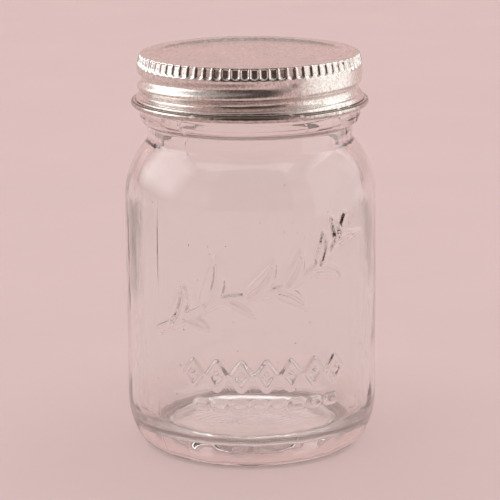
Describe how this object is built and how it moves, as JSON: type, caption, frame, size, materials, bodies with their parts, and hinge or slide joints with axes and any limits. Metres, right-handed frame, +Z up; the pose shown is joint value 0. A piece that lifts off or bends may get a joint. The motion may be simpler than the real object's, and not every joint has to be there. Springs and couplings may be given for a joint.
{
  "type": "coin bank jar",
  "caption": "Clear moulded-glass jar with a wide threaded mouth, raised leaf and bead ornament, and a knurled one-piece metal screw cap with a sealing liner.",
  "frame": {"origin": "centre of the base, on the surface that the jar stands on", "axes": "+Z up along the jar's axis, through the cap; the raised ornament faces -Y and +X is to its right"},
  "size_m": [0.0664, 0.0664, 0.105],
  "materials": {
    "clear_glass": "polished moulded glass",
    "cap_metal": "satin tinplate",
    "liner_seal": "smooth pressed liner"
  },
  "bodies": {
    "jar": {"glass_jar": "clear_glass"},
    "liner": {"cap_liner": "liner_seal"},
    "cap": {"cap_shell": "cap_metal"}
  },
  "joints": [
    {"name": "cap_rise", "type": "slide", "parent": "jar", "child": "liner", "axis": [0, 0, 1], "range_m": [0, 0.01693]},
    {"name": "cap_turn", "type": "hinge", "parent": "liner", "child": "cap", "pos_m": [0, 0, 0.1], "axis": [0, 0, 1], "range_deg": [0, 1440]}
  ],
  "couplings": [
    {"joint": "cap_rise", "follows": "cap_turn", "m_per_rad": 0.0006737}
  ]
}
